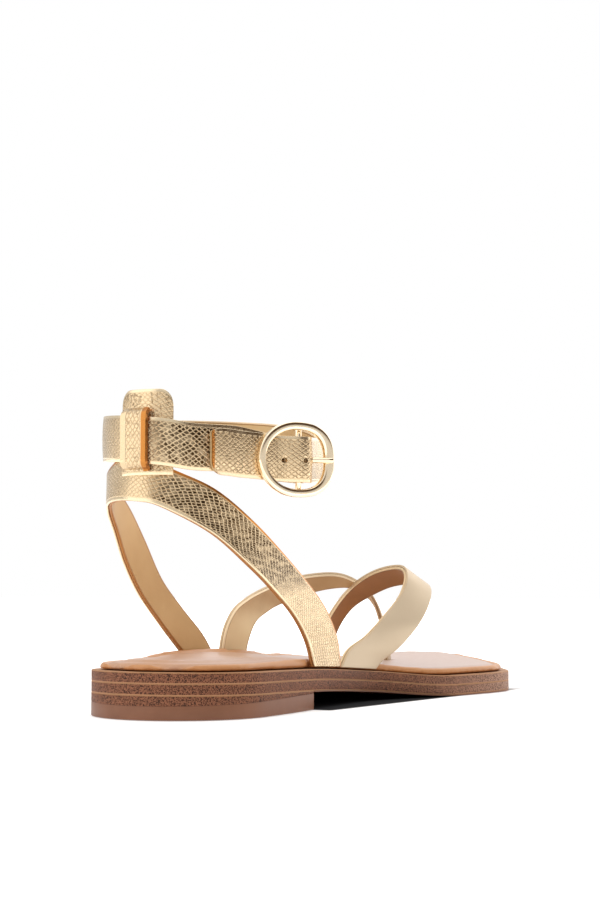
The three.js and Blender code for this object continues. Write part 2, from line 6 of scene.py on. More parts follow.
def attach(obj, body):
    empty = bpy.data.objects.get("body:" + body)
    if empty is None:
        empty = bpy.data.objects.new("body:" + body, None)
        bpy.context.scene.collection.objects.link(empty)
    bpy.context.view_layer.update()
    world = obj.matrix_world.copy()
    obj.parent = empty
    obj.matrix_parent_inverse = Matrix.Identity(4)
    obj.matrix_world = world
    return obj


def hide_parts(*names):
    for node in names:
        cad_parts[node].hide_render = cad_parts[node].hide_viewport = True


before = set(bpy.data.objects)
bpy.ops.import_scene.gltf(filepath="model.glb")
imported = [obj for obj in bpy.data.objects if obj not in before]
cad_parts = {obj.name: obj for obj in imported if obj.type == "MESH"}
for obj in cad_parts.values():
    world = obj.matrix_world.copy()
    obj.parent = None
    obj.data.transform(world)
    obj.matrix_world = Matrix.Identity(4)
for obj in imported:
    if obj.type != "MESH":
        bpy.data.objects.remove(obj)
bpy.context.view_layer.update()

MM = 0.001

# Studio
# A white floor and four soft lights round the sandal, seen from behind its outer side as in the photograph.
# Metal mirrors a grey room with one dark brown card on the outer side, which gives the gold its dark parts
# along with the painted dark reflection on the foil.
CAMERA_PLACE = Vector((-278.8, 474.6, 39.5)) * MM
CAMERA_LOOK = Vector((0.4505, -0.8896, 0.0764))
TO_CAMERA = Vector((-0.4505, 0.8896, 0.0))
TO_RIGHT = Vector((-0.8896, -0.4505, 0.0))
SHOE_MIDDLE = Vector((-2, -90, 30)) * MM
FILM_HEIGHT = 36.0
LENS = 70.46
FLOOR_SIZE = 8.0
FLOOR_DROP = 0.2
FLOOR_WHITE = (0.93, 0.92, 0.91, 1)
SHADOW_BLACK = (0.008, 0.009, 0.011, 1)
SHADOW_SHARE = 0.97
SHADOW_SLANT = 0.1
SHADOW_TOE = (-0.188, -0.150)
SHADOW_HEEL = (-0.034, -0.030)
SHADOW_OUTER = (-0.0315, -0.0285)
SHADOW_INNER = (0.036, 0.046)
GLOW_NEAR = 0.30
GLOW_FURTHER = 0.72
GLOW_REACH = (0.30, 0.9)
ROOM_GREY = (0.74, 0.74, 0.74, 1)
WALL_LOW = 0.25
WALL_GAIN = 0.6
WALL_BLEND = (0.10, 0.55)
CARD_BROWN = (0.08, 0.045, 0.022, 1)
CARD_OUTER = (-0.35, -0.20)
CARD_TOE = (-0.78, -0.58)
CARD_HEEL = (0.30, 0.46)
CARD_FOOT = (0.11, 0.19)
CARD_TOP = (0.65, 0.85)
ROOM_WHITE = (1, 1, 1, 1)


def deselect():
    bpy.ops.object.select_all(action="DESELECT")


deselect()
camera_turn = CAMERA_LOOK.to_track_quat("-Z", "Y").to_euler()
bpy.ops.object.camera_add(location=CAMERA_PLACE, rotation=camera_turn)
camera = bpy.context.object
camera.name = "photo_camera"
camera.data.sensor_fit = "VERTICAL"
camera.data.sensor_height = FILM_HEIGHT
camera.data.sensor_width = FILM_HEIGHT
camera.data.lens = LENS
camera.data.clip_start = 0.01
bpy.context.scene.camera = camera
bpy.context.scene.view_settings.view_transform = "Standard"


def softbox(name, right, nearer, height, size, power):
    """A square light that faces the shoe, placed to the camera's right, towards it and above the floor."""
    spot = SHOE_MIDDLE + TO_RIGHT * right + TO_CAMERA * nearer + Vector((0, 0, height))
    aim = (SHOE_MIDDLE - spot).to_track_quat("-Z", "Y").to_euler()
    bpy.ops.object.light_add(type="AREA", location=spot, rotation=aim)
    light = bpy.context.object
    light.name = name
    light.data.size = size
    light.data.energy = power


softbox("left_softbox", right=-1.1, nearer=0.6, height=0.75, size=1.6, power=7)
softbox("right_softbox", right=1.1, nearer=-0.8, height=0.45, size=1.3, power=4.5)
softbox("top_softbox", right=0.1, nearer=-0.1, height=1.4, size=1.8, power=8)
softbox("back_softbox", right=0.3, nearer=-1.2, height=0.7, size=1.3, power=4)


class Reading:
    """A number, colour or place inside a material; sums on it add the Math nodes that work them out."""

    def __init__(self, finish, socket):
        self.finish = finish
        self.socket = socket

    def math(self, operation, *values):
        return self.finish.node("ShaderNodeMath", {"operation": operation}, dict(enumerate(values)))

    def __add__(self, other):
        return self.math("ADD", self, other)

    __radd__ = __add__

    def __mul__(self, other):
        return self.math("MULTIPLY", self, other)

    __rmul__ = __mul__

    def __sub__(self, other):
        return self.math("SUBTRACT", self, other)

    def __rsub__(self, other):
        return self.math("SUBTRACT", other, self)

    def between(self, low, high):
        """0 below low and 1 above high, smooth between."""
        values = {"Value": self, "From Min": low, "From Max": high}
        return self.finish.node("ShaderNodeMapRange", {"interpolation_type": "SMOOTHSTEP"}, values)

    def part(self, axis):
        return self.finish.node("ShaderNodeSeparateXYZ", {}, {"Vector": self}, axis)


class Wiring:
    """A node tree whose nodes are made by type and joined as they are made."""

    def __init__(self, tree):
        self.tree = tree

    def node(self, kind, settings, values, output=0):
        made = self.tree.nodes.new(kind)
        for key, value in settings.items():
            setattr(made, key, value)
        for key, value in values.items():
            self.join(value, made.inputs[key])
        return Reading(self, made.outputs[output])

    def join(self, value, socket):
        if isinstance(value, Reading):
            self.tree.links.new(value.socket, socket)
        else:
            socket.default_value = value

    def mix(self, share, low, high):
        values = {"Factor": share, 6: low, 7: high}
        return self.node("ShaderNodeMix", {"data_type": "RGBA"}, values, 2)

    def noise(self, where, scale, detail=3.0, roughness=0.5):
        values = {"Vector": where, "Scale": scale, "Detail": detail, "Roughness": roughness}
        return self.node("ShaderNodeTexNoise", {}, values, "Fac")

    def grey(self, value):
        return self.node("ShaderNodeCombineColor", {}, {"Red": value, "Green": value, "Blue": value})


class Finish(Wiring):
    """One material, whose shader's sockets are set by name."""

    def __init__(self, name, **fixed):
        self.material = bpy.data.materials.new(name)
        self.material.use_nodes = True
        super().__init__(self.material.node_tree)
        self.shader = self.tree.nodes["Principled BSDF"]
        for socket, value in fixed.items():
            self.shader.inputs[socket.replace("_", " ")].default_value = value

    def here(self):
        return self.node("ShaderNodeTexCoord", {}, {}, "Object")

    def chart(self, name="chart"):
        return self.node("ShaderNodeUVMap", {"uv_map": name}, {})

    def scaled(self, where, scale, turn=0.0):
        values = {"Vector": where, "Scale": scale, "Rotation": (0, 0, math.radians(turn))}
        return self.node("ShaderNodeMapping", {}, values)

    def relief(self, height, depth):
        """Bumps of the given depth in metres where height goes from 0 to 1."""
        values = {"Height": height, "Distance": depth, "Strength": 1.0}
        self.join(self.node("ShaderNodeBump", {}, values), self.shader.inputs["Normal"])

    def set(self, **links):
        for socket, value in links.items():
            self.join(value, self.shader.inputs[socket.replace("_", " ")])


deselect()
bpy.ops.mesh.primitive_plane_add(size=FLOOR_SIZE)
floor = bpy.context.object
floor.name = "studio_floor"
floor.data.transform(Matrix.Translation((0, 0, -FLOOR_DROP * MM)))
paper = Finish("studio_floor", Roughness=0.7, Specular_IOR_Level=0.0, Emission_Strength=1.0)
off_shoe = paper.node("ShaderNodeVectorMath", {"operation": "LENGTH"}, {0: paper.here()}, "Value")
ahead = paper.here().part(1)
beside = paper.here().part(0)
outer_line = beside - SHADOW_SLANT * ahead
# The shadow lies between the ball and the heel breast, and between the sole's two sides
shadow_length = ahead.between(*SHADOW_TOE) * (1 - ahead.between(*SHADOW_HEEL))
shadow_width = outer_line.between(*SHADOW_OUTER) * (1 - beside.between(*SHADOW_INNER))
shadow = shadow_length * shadow_width
glow = GLOW_NEAR + GLOW_FURTHER * off_shoe.between(*GLOW_REACH)
paper.set(
    Base_Color=paper.mix(SHADOW_SHARE * shadow, FLOOR_WHITE, SHADOW_BLACK),
    Emission_Color=paper.grey(glow * (1 - shadow)),
)
floor.data.materials.append(paper.material)

world = bpy.data.worlds.new("studio_room")
bpy.context.scene.world = world
world.use_nodes = True
room = Wiring(world.node_tree)
way = room.node("ShaderNodeTexCoord", {}, {}, "Generated")
side, back, rise = way.part(0), way.part(1), way.part(2)
card_length = back.between(*CARD_TOE) * (1 - back.between(*CARD_HEEL))
card_height = rise.between(*CARD_FOOT) * (1 - rise.between(*CARD_TOP))
card = (1 - side.between(*CARD_OUTER)) * card_length * card_height
mirrored = room.mix(card, ROOM_GREY, CARD_BROWN)
lit = WALL_LOW + WALL_GAIN * rise.between(*WALL_BLEND)
glossy = room.node("ShaderNodeLightPath", {}, {}, "Is Glossy Ray")
seen = room.node("ShaderNodeLightPath", {}, {}, "Is Camera Ray")
walls = room.mix(glossy, room.grey(lit), mirrored)
room.join(room.mix(seen, walls, ROOM_WHITE), world.node_tree.nodes["Background"].inputs["Color"])

# Stacked sole
# Two whole layers of brown fibre board under the footbed, and a third as a lift at the heel.
# Each is cut to the outline, and its ground edge shows the grain with a pale skin on its top side.
SOLE_LENGTH = 250.0
HEEL_WIDTH = 57.0
WAIST_WIDTH = 50.8
BALL_WIDTH = 87.4
HEEL_REACH = 32.0
SEAT_HEIGHT = 14.0
FORE_HEIGHT = 7.2
TOE_SPRING = 2.6
UPPER_LAYER = 3.1
LAYER_STEP = 3.4
LAYER_GAP = 0.3
GAP_CLOSED = 0.9
LAYER_BOTTOMS = {"midsole_upper": 2.0, "midsole_lower": 5.0, "heel_lift": 7.15}
EDGE_ROUND = 0.25
MERGE_REACH = 0.002
NARROWEST_SHARE = 0.02
FINE_GRAIN = 3100
COARSE_GRAIN = 1900
BOARD_RELIEF = 0.08
TOE_SHEEN_BLEND = (115, 235)
TOP_SKIN = -0.2
SKIN_BLUR = 0.12
SKIN_SHARE = 0.8
PALE_SKIN = 0.42
SKIN_TAN = (0.46, 0.235, 0.11, 1)
BOARD_DARK = (0.035, 0.011, 0.004, 1)
# The lighter grain colours towards the toe end are a painted sheen
BOARD_DARK_TOE_SHEEN = (0.20, 0.105, 0.070, 1)
BOARD_BROWN = (0.26, 0.098, 0.048, 1)
BOARD_BROWN_TOE_SHEEN = (0.60, 0.38, 0.27, 1)


def table(columns, *rows):
    return [dict(zip(columns, row)) for row in rows]


def follow(rows, key, along):
    """Smooth curve through a table's column that never overshoots its rows."""
    at = [row["along"] for row in rows]
    value = [row[key] for row in rows]
    last = len(rows) - 1
    if along <= at[0]:
        return value[0]
    if along >= at[last]:
        return value[last]
    slopes = [(value[i + 1] - value[i]) / (at[i + 1] - at[i]) for i in range(last)]

    def tangent(i):
        if i in (0, last):
            return slopes[0 if i == 0 else last - 1]
        before, after = slopes[i - 1], slopes[i]
        return 0 if before * after <= 0 else 2 * before * after / (before + after)

    i = max(k for k in range(last) if along > at[k])
    span = at[i + 1] - at[i]
    t = (along - at[i]) / span
    rise = t * t * (3 - 2 * t)
    ends = span * t * (1 - t) * ((1 - t) * tangent(i) - t * tangent(i + 1))
    return value[i] * (1 - rise) + value[i + 1] * rise + ends


outline = table(
    ("along", "lateral", "medial"),
    (0.00, 0.485 * HEEL_WIDTH, 0.485 * HEEL_WIDTH),
    (0.16, 0.500 * HEEL_WIDTH, 0.500 * HEEL_WIDTH),
    (0.42, 0.507 * WAIST_WIDTH, 0.493 * WAIST_WIDTH),
    (0.62, 0.493 * BALL_WIDTH, 0.435 * BALL_WIDTH),
    (0.73, 0.549 * BALL_WIDTH, 0.451 * BALL_WIDTH),
    (0.88, 0.349 * BALL_WIDTH, 0.482 * BALL_WIDTH),
    (1.00, 0.182 * BALL_WIDTH, 0.457 * BALL_WIDTH),
)
HEEL_ROUND = 0.498 * HEEL_WIDTH
TOE_ROUND = 0.54 * BALL_WIDTH


def sole_edges(along, inset=0.0):
    """The sole's outer and inner side, in millimetres from its middle line, with both ends rounded."""

    def arc(reach, radius):
        return math.sqrt(max(0, 1 - ((radius - reach) / radius) ** 2)) if reach < radius else 1

    distance = along * SOLE_LENGTH
    lateral = follow(outline, "lateral", along)
    medial = follow(outline, "medial", along)
    half = (medial + lateral) / 2 * arc(distance, HEEL_ROUND) * arc(SOLE_LENGTH - distance, TOE_ROUND)
    middle = (medial - lateral) / 2
    kept = max(half - inset, half * NARROWEST_SHARE)
    return middle - kept, middle + kept


profile = table(
    ("along", "heel_share", "toe_share"),
    (0.00, 1.00, 0),
    (0.25, 0.82, 0),
    (0.45, 0.42, 0),
    (0.60, 0.00, 0),
    (0.78, 0.00, 0),
    (0.90, 0.00, 0.30),
    (1.00, 0.00, 1),
)


def seat(along):
    fall = (SEAT_HEIGHT - FORE_HEIGHT) * follow(profile, "heel_share", along)
    return FORE_HEIGHT + fall + TOE_SPRING * follow(profile, "toe_share", along)


def place(along, side, height):
    """Point at a share of the sole's length from its heel end, with side and height in millimetres."""
    return Vector((side, HEEL_REACH - along * SOLE_LENGTH, height)) * MM


def along_of(point):
    return min(1, max(0, (HEEL_REACH - point.y / MM) / SOLE_LENGTH))


def apply_modifier(kind, **settings):
    bpy.ops.object.modifier_add(type=kind)
    modifier = bpy.context.object.modifiers[-1]
    for key, value in settings.items():
        setattr(modifier, key, value)
    bpy.ops.object.modifier_apply(modifier=modifier.name)


def smooth_faces(degrees=35):
    bpy.ops.object.shade_smooth_by_angle(angle=math.radians(degrees))


def round_edges(width, segments, degrees):
    turn = math.radians(degrees)
    apply_modifier("BEVEL", width=width * MM, segments=segments, limit_method="ANGLE", angle_limit=turn)


def pick(piece):
    deselect()
    piece.select_set(True)
    bpy.context.view_layer.objects.active = piece


def copied(node, name):
    """A copy of a CAD node with its loose triangles merged, active and alone selected."""
    piece = bpy.data.objects.new(name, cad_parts[node].data.copy())
    bpy.context.scene.collection.objects.link(piece)
    pick(piece)
    bpy.ops.object.mode_set(mode="EDIT")
    bpy.ops.mesh.select_all(action="SELECT")
    bpy.ops.mesh.remove_doubles(threshold=MERGE_REACH * MM)
    bpy.ops.object.mode_set(mode="OBJECT")
    return piece


def chart(piece, spot):
    """Gives each corner of a mesh its place on a flat chart, in millimetres."""
    mesh = piece.data
    while mesh.uv_layers:
        mesh.uv_layers.remove(mesh.uv_layers[0])
    spots = [spot(vertex.co) for vertex in mesh.vertices]
    layer = mesh.uv_layers.new(name="chart")
    for loop in mesh.loops:
        layer.data[loop.index].uv = spots[loop.vertex_index]


def finish_piece(piece, nodes, finish):
    piece.data.materials.clear()
    piece.data.materials.append(finish.material)
    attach(piece, "root")
    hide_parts(*nodes)


def below_seat(point):
    """Distance from the back of the heel and depth below the sole's upper face, in millimetres."""
    along = along_of(point)
    return along * SOLE_LENGTH, seat(along) - point.z / MM


board = Finish("stacked_board", Roughness=0.62, Specular_IOR_Level=0.25)
depth = board.chart().part(1)
speck = board.noise(board.here(), FINE_GRAIN, 1, 0.5)
coarse = board.noise(board.here(), COARSE_GRAIN, 1, 0.5)
# The board is painted lighter towards the toe end: a painted sheen over its real grain
toe_sheen = board.chart().part(0).between(*TOE_SHEEN_BLEND)
grain_and_toe_sheen = board.mix(
    (speck * 0.7 + coarse * 0.3).between(0.41, 0.56),
    board.mix(toe_sheen, BOARD_DARK, BOARD_DARK_TOE_SHEEN),
    board.mix(toe_sheen, BOARD_BROWN, BOARD_BROWN_TOE_SHEEN),
)


def skin(top):
    """1 in the pale skin that starts at the given depth, 0 elsewhere."""
    bottom = top + PALE_SKIN
    return depth.between(top - SKIN_BLUR, top) - depth.between(bottom, bottom + SKIN_BLUR)


pale = skin(TOP_SKIN) + skin(UPPER_LAYER) + skin(UPPER_LAYER + LAYER_STEP)
board.set(Base_Color=board.mix(SKIN_SHARE * pale, grain_and_toe_sheen, SKIN_TAN))
board.relief(speck * (1 - pale), BOARD_RELIEF * MM)

for node in ("midsole_upper", "midsole_lower", "heel_lift"):
    layer = copied(node, f"{node}_board")
    for vertex in layer.data.vertices:
        if below_seat(vertex.co)[1] > LAYER_BOTTOMS[node]:
            vertex.co.z -= LAYER_GAP * GAP_CLOSED * MM
    round_edges(EDGE_ROUND, 2, 45)
    smooth_faces()
    chart(layer, below_seat)
    finish_piece(layer, [node], board)

# Rubber underside
# A thin outsole under the forepart and a thicker heel piece, both of smooth brown rubber.
# They are glued under the stacked layers and ground flush with their edge.
RUBBER_DARK = (0.20, 0.082, 0.042, 1)
RUBBER_LIGHT = (0.245, 0.106, 0.058, 1)
RUBBER_RELIEF = 0.02

rubber = Finish("smooth_rubber", Specular_IOR_Level=0.3)
mottle = rubber.noise(rubber.here(), 60, 4, 0.6)
rubber.set(
    Base_Color=rubber.mix(mottle.between(0.3, 0.7), RUBBER_DARK, RUBBER_LIGHT),
    Roughness=0.38 + 0.18 * mottle,
)
rubber.relief(rubber.noise(rubber.here(), 1500, 2), RUBBER_RELIEF * MM)
for node in ("outsole", "heel_top"):
    tread = copied(node, f"{node}_rubber")
    round_edges(EDGE_ROUND, 2, 45)
    smooth_faces()
    chart(tread, below_seat)
    finish_piece(tread, [node], rubber)

# Padded footbed
# Foam under soft nude leather, with a rolled tan rim and a shallow groove where the rim meets the pad.
# Its arch side turns up, and it is notched where the straps go down past it.
FOOTBED_INSET = 2.9
RIM_WIDTH = 3.2
GROOVE_WIDTH = 1.1
GROOVE_DEPTH = 0.8
CUSHION_START = 6.5
CUSHION_RISE = 5
CUSHION_HEIGHT = 0.9
CUSHION_FRONT = (60, 100)
TOP_FACING = 0.3
END_SPREAD = 1.4
VOXEL = 0.8
FOOTBED_RELIEF = 0.05
FORE_SHEEN_BLEND = (60, 150)
RIM_TAN = (0.55, 0.245, 0.085, 1)
HEEL_NUDE_DARK = (0.47, 0.245, 0.135, 1)
HEEL_NUDE_LIGHT = (0.55, 0.31, 0.185, 1)
# The forefoot's paler, pinker nude is a painted sheen
FORE_NUDE_SHEEN = (0.49, 0.33, 0.26, 1)


def smooth_step(low, high, value):
    share = min(1, max(0, (value - low) / (high - low)))
    return share * share * (3 - 2 * share)


def from_edge(point):
    """Distance from the back of the heel and inward from the footbed's rim, in millimetres."""
    along = along_of(point)
    low, high = sole_edges(along, FOOTBED_INSET)
    side = point.x / MM
    reach = min(along, 1 - along) * SOLE_LENGTH - FOOTBED_INSET
    return along * SOLE_LENGTH, min(side - low, high - side, max(reach, 0) * END_SPREAD)


footbed = copied("insole", "footbed_pad")
apply_modifier("REMESH", mode="VOXEL", voxel_size=VOXEL * MM)
apply_modifier("SMOOTH", factor=0.5, iterations=7)
tops = [vertex for vertex in footbed.data.vertices if vertex.normal.z > TOP_FACING]
for vertex in tops:
    distance, inward = from_edge(vertex.co)
    off = (inward - RIM_WIDTH) / GROOVE_WIDTH
    plump = smooth_step(CUSHION_START, CUSHION_START + CUSHION_RISE, inward)
    plump *= 1 - smooth_step(*CUSHION_FRONT, distance)
    vertex.co.z += (CUSHION_HEIGHT * plump - GROOVE_DEPTH * math.exp(-off * off)) * MM
bpy.ops.object.shade_smooth()
chart(footbed, from_edge)
sock = Finish("footbed_leather", Coat_Weight=0.15, Coat_Roughness=0.3)
edge_off = sock.chart().part(1)
pad = edge_off.between(RIM_WIDTH - 1.2, RIM_WIDTH + 1.6)
cloud = sock.noise(sock.here(), 22, 3)
crease = sock.noise(sock.here(), 420, 5, 0.6)
heel_nude = sock.mix(cloud.between(0.35, 0.65), HEEL_NUDE_DARK, HEEL_NUDE_LIGHT)
# Blends from the heel's own nude to the paler forefoot colour, which is painted sheen
nude_and_sheen = sock.mix(sock.chart().part(0).between(*FORE_SHEEN_BLEND), heel_nude, FORE_NUDE_SHEEN)
sock.set(
    Base_Color=sock.mix(pad, RIM_TAN, nude_and_sheen),
    Roughness=0.34 + 0.22 * crease,
)
sock.relief(crease, FOOTBED_RELIEF * MM)
finish_piece(footbed, ["insole"], sock)

# Heel strap
# One embossed gold strap with a tan lining, from the outer ledge of the sole up round the back of the
# heel, under the ankle strap, and down to the inner ledge. Both feet are glued under the footbed's edge.
STRAP_WALL = 1.8
ANKLE_RISE = 76.0
INSTEP_RISE = 39.0
FOOT_CLEARANCE = 0.7
LAYER_SEAM = 0.12
LAYER_ROUND = 0.32


def along_curve(points, t):
    """Point at share t of a centripetal curve through the points, each span taking an equal share."""
    last = len(points) - 1
    reach = t * last
    i = min(int(reach), last - 1)
    w = reach - i
    p1, p2 = points[i], points[i + 1]
    p0 = points[i - 1] if i > 0 else 2 * points[0] - points[1]
    p3 = points[i + 2] if i + 2 <= last else 2 * points[last] - points[last - 1]
    d0, d1, d2 = (max((b - a).length, 1e-7) ** 0.5 for a, b in ((p0, p1), (p1, p2), (p2, p3)))
    t1 = ((p1 - p0) / d0 - (p2 - p0) / (d0 + d1) + (p2 - p1) / d1) * d1
    t2 = ((p2 - p1) / d1 - (p3 - p1) / (d1 + d2) + (p3 - p2) / d2) * d1
    bend = -3 * p1 + 3 * p2 - 2 * t1 - t2
    turn = 2 * p1 - 2 * p2 + t1 + t2
    return p1 + t1 * w + bend * w ** 2 + turn * w ** 3


def strap_layer(name, rear, front, start, wall, outside=1, counts=(160, 12), crown=0.0, trim=None):
    """One layer of a strap, between two edge curves, as a strip of leather with rounded edges.

    start is how far its middle lies outside the curves, and crown how far its middle line is raised.
    outside is 1 or -1, counts are the faces along and across it, and trim narrows it along its length.
    """
    deselect()
    spans, across = counts
    bpy.ops.mesh.primitive_grid_add(x_subdivisions=spans, y_subdivisions=across, size=1)
    strip = bpy.context.object
    strip.name = name
    rears, fronts = ([along_curve(edge, k / spans) for k in range(spans + 1)] for edge in (rear, front))
    middles = [(a + b) / 2 for a, b in zip(rears, fronts)]
    lengths = [0.0]
    for a, b in zip(middles, middles[1:]):
        lengths.append(lengths[-1] + (b - a).length / MM)
    spots = []
    rims = []
    for vertex in strip.data.vertices:
        k = round((vertex.co.x + 0.5) * spans)
        s = 0.5 - outside * vertex.co.y
        if trim:
            s = trim(k / spans, s)
        a, b = rears[k], fronts[k]
        run = middles[min(spans, k + 1)] - middles[max(0, k - 1)]
        normal = (b - a).cross(run).normalized() * outside
        bulge = start + crown * (1 - (2 * s - 1) ** 2)
        vertex.co = a.lerp(b, s) + normal * bulge * MM
        width = (b - a).length / MM
        spots.append((lengths[k], (s - 0.5) * width))
        rims.append((s * width, (1 - s) * width))
    strip.data.uv_layers[0].name = "chart"
    strip.data.uv_layers.new(name="rims")
    for uv_name, uv_spots in (("chart", spots), ("rims", rims)):
        layer = strip.data.uv_layers[uv_name]
        for loop in strip.data.loops:
            layer.data[loop.index].uv = uv_spots[loop.vertex_index]
    apply_modifier("SOLIDIFY", thickness=wall * MM, offset=0.0)
    round_edges(LAYER_ROUND, 3, 50)
    smooth_faces(50)
    return strip


strap_columns = ("rear_along", "rear_side", "rear_height", "front_along", "front_side", "front_height")


def strap_edge(rows, edge, half, rise, start, end):
    """One edge of a strap, through its table's rows, which hold shares of a half width and of a rise."""
    points = [start]
    for row in rows:
        along = row[f"{edge}_along"]
        points.append(place(along, row[f"{edge}_side"] * half, seat(along) + row[f"{edge}_height"] * rise))
    return points + [end]


def strap_foot(along, inner):
    """Where a strap's edge ends beside the footbed, on the inner or the outer ledge of the sole."""
    outer_side, inner_side = sole_edges(along, FOOTBED_INSET / 2)
    return place(along, inner_side if inner else outer_side, seat(along) + FOOT_CLEARANCE)


heel_rows = table(
    strap_columns,
    (0.256, -0.875, 0.100, 0.339, -0.88, 0.126),
    (0.219, -0.885, 0.208, 0.308, -0.885, 0.242),
    (0.165, -0.89, 0.308, 0.255, -0.90, 0.346),
    (0.104, -0.835, 0.421, 0.187, -0.92, 0.455),
    (0.058, -0.64, 0.536, 0.110, -0.86, 0.597),
    (0.026, -0.37, 0.612, 0.062, -0.63, 0.717),
    (0.0150, -0.12, 0.654, 0.030, -0.28, 0.792),
    (0.0145, 0.05, 0.663, 0.018, 0.00, 0.850),
    (0.0205, 0.26, 0.669, 0.027, 0.25, 0.850),
    (0.042, 0.54, 0.664, 0.059, 0.64, 0.800),
    (0.080, 0.77, 0.634, 0.106, 0.88, 0.760),
    (0.114, 0.88, 0.557, 0.157, 0.95, 0.660),
    (0.139, 0.91, 0.447, 0.193, 0.96, 0.541),
    (0.174, 0.91, 0.315, 0.236, 0.95, 0.373),
    (0.220, 0.90, 0.194, 0.286, 0.93, 0.250),
    (0.270, 0.90, 0.082, 0.335, 0.88, 0.130),
)
heel_rear = strap_edge(
    heel_rows, "rear", HEEL_WIDTH / 2, ANKLE_RISE,
    strap_foot(0.262, inner=False), strap_foot(0.302, inner=True),
)
heel_front = strap_edge(
    heel_rows, "front", HEEL_WIDTH / 2, ANKLE_RISE,
    strap_foot(0.350, inner=False), strap_foot(0.364, inner=True),
)

SCALE_LENGTH = 1.4
SCALE_WIDTH = 1.05
SCALE_TURN = 45
FOIL_RELIEF = 0.13
BORDER = 0.9
BORDER_BLUR = 0.3
DEEPENS_OVER = 14
FADES_OVER = 8
# Places beyond the end of every strap, for one that has no deep stretch or no tan end
NO_STRETCH = (200, 220)
NO_TIP = 1000
GOLD = (0.71, 0.54, 0.335, 1)
# Painted dark reflection, laid on the scales of the deep stretch
PAINTED_DARK = (0.07, 0.037, 0.013, 1)
# Painted shade for the grooves between the scales
GROOVE_SHADE = (0.30, 0.165, 0.062, 1)
TAN_EDGE = (0.50, 0.20, 0.045, 1)
PALE_EDGE = (0.82, 0.66, 0.44, 1)


def gold_foil(name, deep, creased=0.5, edges=(PALE_EDGE, PALE_EDGE), border=BORDER, tip=NO_TIP):
    """Foil embossed with small scales in crossing rows, a painted dark reflection over the deep stretch,
    plain edges.

    deep is where along the strap that stretch starts and ends, edges are the colours of its rear and
    front border, and tip is where the strap ends, in millimetres, if its end has a tan edge too.
    """
    foil = Finish(name, Metallic=0.95)
    cells = foil.scaled(foil.chart(), (1 / SCALE_LENGTH, 1 / SCALE_WIDTH, 1), SCALE_TURN)
    pattern = {"Vector": cells, "Scale": 1.0, "Randomness": 0.35}
    flat = {"voronoi_dimensions": "2D"}
    groove_off = foil.node("ShaderNodeTexVoronoi", {**flat, "feature": "DISTANCE_TO_EDGE"}, pattern)
    tint = foil.node("ShaderNodeTexVoronoi", flat, pattern, "Color").part(0)
    raised = groove_off.between(0.03, 0.20)
    wave = foil.noise(foil.chart(), 0.11, 2)
    along = foil.chart().part(0)
    rear_off = foil.chart("rims").part(0)
    front_off = foil.chart("rims").part(1)
    inside = rear_off.between(border, border + 0.35) * front_off.between(border, border + 0.35)
    start, end = deep
    stretch = along.between(start - DEEPENS_OVER, start) * (1 - along.between(end, end + FADES_OVER))
    pressed = inside * (0.45 + 0.55 * stretch) * (0.45 + 1.1 * wave)
    # The deep stretch's scales are painted dark, a painted reflection broken into patches
    dark_reflection_patches = foil.noise(foil.chart(), 0.35, 3).between(0.34, 0.58)
    scales = foil.mix(stretch * inside * raised * (0.35 + 0.65 * dark_reflection_patches), GOLD, PAINTED_DARK)
    ridges = foil.noise(foil.scaled(foil.chart(), (0.75, 0.16, 1)), 1.0, 2)
    dashes = foil.noise(foil.chart(), 1.1, 1)
    thin_lines = ridges.between(0.54, 0.60) * (1 - ridges.between(0.62, 0.68))
    # The thin crease strokes are dented and coloured with the same painted dark, painted shade in the
    # creases
    strokes = creased * inside * thin_lines * dashes.between(0.42, 0.52)
    # The grooves between the scales are painted darker: painted shade in the recesses
    grooves = pressed * (1 - raised) * (1 - stretch)
    body = foil.mix(grooves, foil.mix(strokes, scales, PAINTED_DARK), GROOVE_SHADE)
    edged = foil.mix(rear_off.between(border - BORDER_BLUR, border), edges[0], body)
    edged = foil.mix(front_off.between(border - BORDER_BLUR, border), edges[1], edged)
    foil.set(
        Base_Color=foil.mix(along.between(tip - 0.9, tip - 0.6), edged, TAN_EDGE),
        Roughness=0.18 + 0.12 * tint,
    )
    height = raised * pressed + 0.35 * (tint * pressed) + inside * 0.5 + wave * 1.2 - 0.8 * strokes
    foil.relief(height, FOIL_RELIEF * MM)
    return foil


EDGE_PAINT = (0.74, 0.55, 0.32, 1)
EDGE_LINE = (0.15, 0.065, 0.02, 1)
LINING_RELIEF = 0.03


def lining(name, dark, light, paint=EDGE_PAINT, line=EDGE_LINE):
    """Thin leather inside a strap, with the painted edge and the dark seam line beside it."""
    leather = Finish(name, Roughness=0.45, Metallic=0.45, Specular_IOR_Level=0.3)
    cloud = leather.noise(leather.here(), 35, 4)
    rims = leather.chart("rims")
    from_rim = rims.math("MINIMUM", rims.part(0), rims.part(1))
    body = leather.mix(cloud.between(0.3, 0.7), dark, light)
    leaf = leather.mix(from_rim.between(0.75, 0.95), line, body)
    leather.set(Base_Color=leather.mix(from_rim.between(0.42, 0.55), paint, leaf))
    leather.relief(leather.noise(leather.here(), 900, 3), LINING_RELIEF * MM)
    return leather


tan_lining = lining(
    "tan_lining",
    dark=(0.48, 0.27, 0.095, 1),
    light=(0.57, 0.35, 0.145, 1),
    paint=(0.46, 0.20, 0.06, 1),
    line=(0.33, 0.15, 0.045, 1),
)
# A darker brown copy of the lining for the forefoot band, painted shade on its inner side
painted_shade_lining = lining(
    "painted_shade_lining",
    dark=(0.34, 0.145, 0.035, 1),
    light=(0.42, 0.19, 0.055, 1),
)
pale_lining = lining(
    "pale_lining",
    dark=(0.60, 0.41, 0.20, 1),
    light=(0.70, 0.51, 0.27, 1),
    paint=(0.80, 0.62, 0.40, 1),
    line=(0.36, 0.19, 0.07, 1),
)

